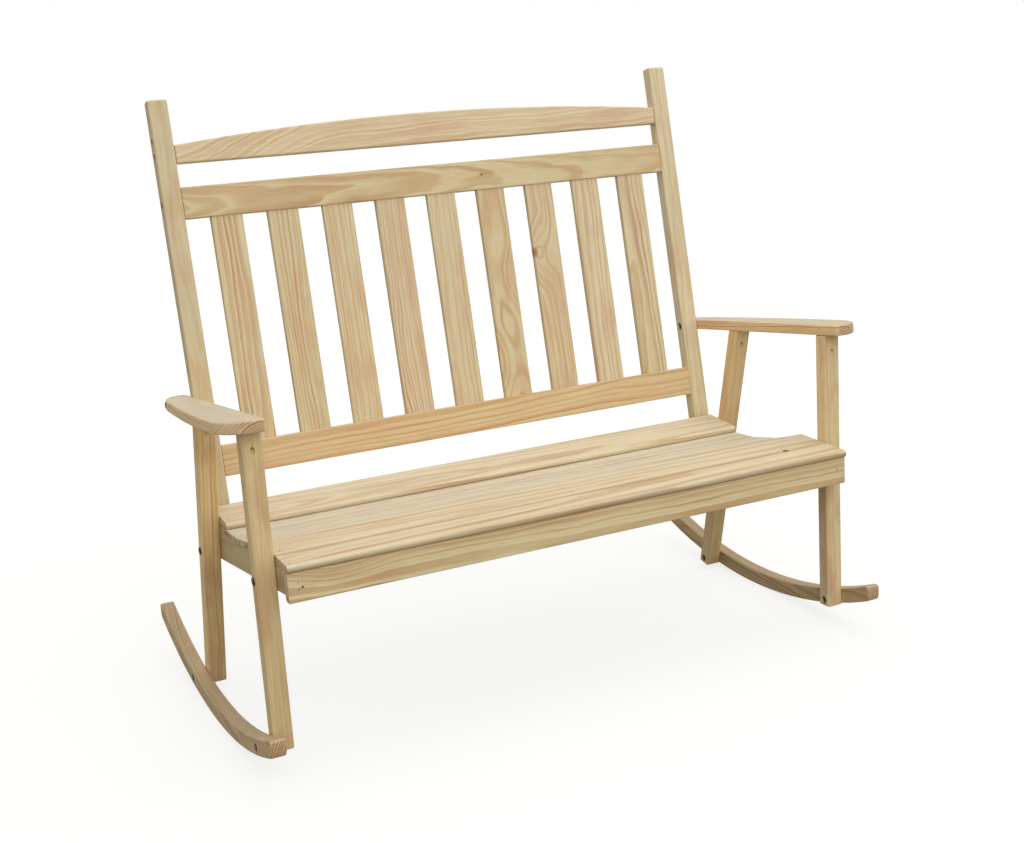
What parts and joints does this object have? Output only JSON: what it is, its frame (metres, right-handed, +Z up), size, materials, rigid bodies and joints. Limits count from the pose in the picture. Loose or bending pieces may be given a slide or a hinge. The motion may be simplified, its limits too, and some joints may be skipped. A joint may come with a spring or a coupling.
{
  "type": "rocking bench",
  "caption": "Wide rocking bench in bare softwood: slatted leaning back under an arched crest, scooped board seat, broad flat arms and long curved runners.",
  "frame": {"origin": "on the floor, under the centre of the bounding box", "axes": "+X to the right arm as seen from the front, +Y from the front edge of the seat to the back, +Z up"},
  "size_m": [1.2954, 0.7874, 1.143],
  "materials": {
    "yellow_pine_face": "planed and lightly sanded yellow pine, no coating",
    "pale_pine_flat": "planed yellow pine, flat faces, no coating",
    "weathered_pine_frame": "planed yellow pine with a faint green yellow cast, no coating",
    "zinc_plated_steel": "dull zinc plating"
  },
  "bodies": {
    "root": {"runner_left": "weathered_pine_frame", "leg_front_left": "weathered_pine_frame", "leg_rear_left": "weathered_pine_frame", "back_post_left": "weathered_pine_frame", "arm_left": "pale_pine_flat", "seat_rail_left": "yellow_pine_face", "bolt_foot_front_left": "zinc_plated_steel", "nut_foot_front_left": "zinc_plated_steel", "bolt_foot_rear_left": "zinc_plated_steel", "nut_foot_rear_left": "zinc_plated_steel", "bolt_seat_front_left": "zinc_plated_steel", "nut_seat_front_left": "zinc_plated_steel", "bolt_seat_rear_left": "zinc_plated_steel", "nut_seat_rear_left": "zinc_plated_steel", "bolt_arm_left": "zinc_plated_steel", "nut_arm_left": "zinc_plated_steel", "runner_right": "weathered_pine_frame", "leg_front_right": "weathered_pine_frame", "leg_rear_right": "weathered_pine_frame", "back_post_right": "weathered_pine_frame", "arm_right": "pale_pine_flat", "seat_rail_right": "yellow_pine_face", "bolt_foot_front_right": "zinc_plated_steel", "nut_foot_front_right": "zinc_plated_steel", "bolt_foot_rear_right": "zinc_plated_steel", "nut_foot_rear_right": "zinc_plated_steel", "bolt_seat_front_right": "zinc_plated_steel", "nut_seat_front_right": "zinc_plated_steel", "bolt_seat_rear_right": "zinc_plated_steel", "nut_seat_rear_right": "zinc_plated_steel", "bolt_arm_right": "zinc_plated_steel", "nut_arm_right": "zinc_plated_steel", "crest_rail": "yellow_pine_face", "back_rail_upper": "yellow_pine_face", "back_rail_lower": "yellow_pine_face", "seat_stretcher_rear": "yellow_pine_face", "seat_rail_centre": "yellow_pine_face", "seat_apron": "yellow_pine_face", "back_slat_1": "yellow_pine_face", "back_slat_2": "yellow_pine_face", "back_slat_3": "yellow_pine_face", "back_slat_4": "yellow_pine_face", "back_slat_5": "yellow_pine_face", "back_slat_6": "yellow_pine_face", "back_slat_7": "yellow_pine_face", "back_slat_8": "yellow_pine_face", "back_slat_9": "yellow_pine_face", "seat_board_rear": "pale_pine_flat", "seat_board_mid_1": "pale_pine_flat", "seat_board_mid_2": "pale_pine_flat", "seat_board_mid_3": "pale_pine_flat", "seat_board_mid_4": "pale_pine_flat", "seat_board_front": "pale_pine_flat"}
  },
  "joints": []
}
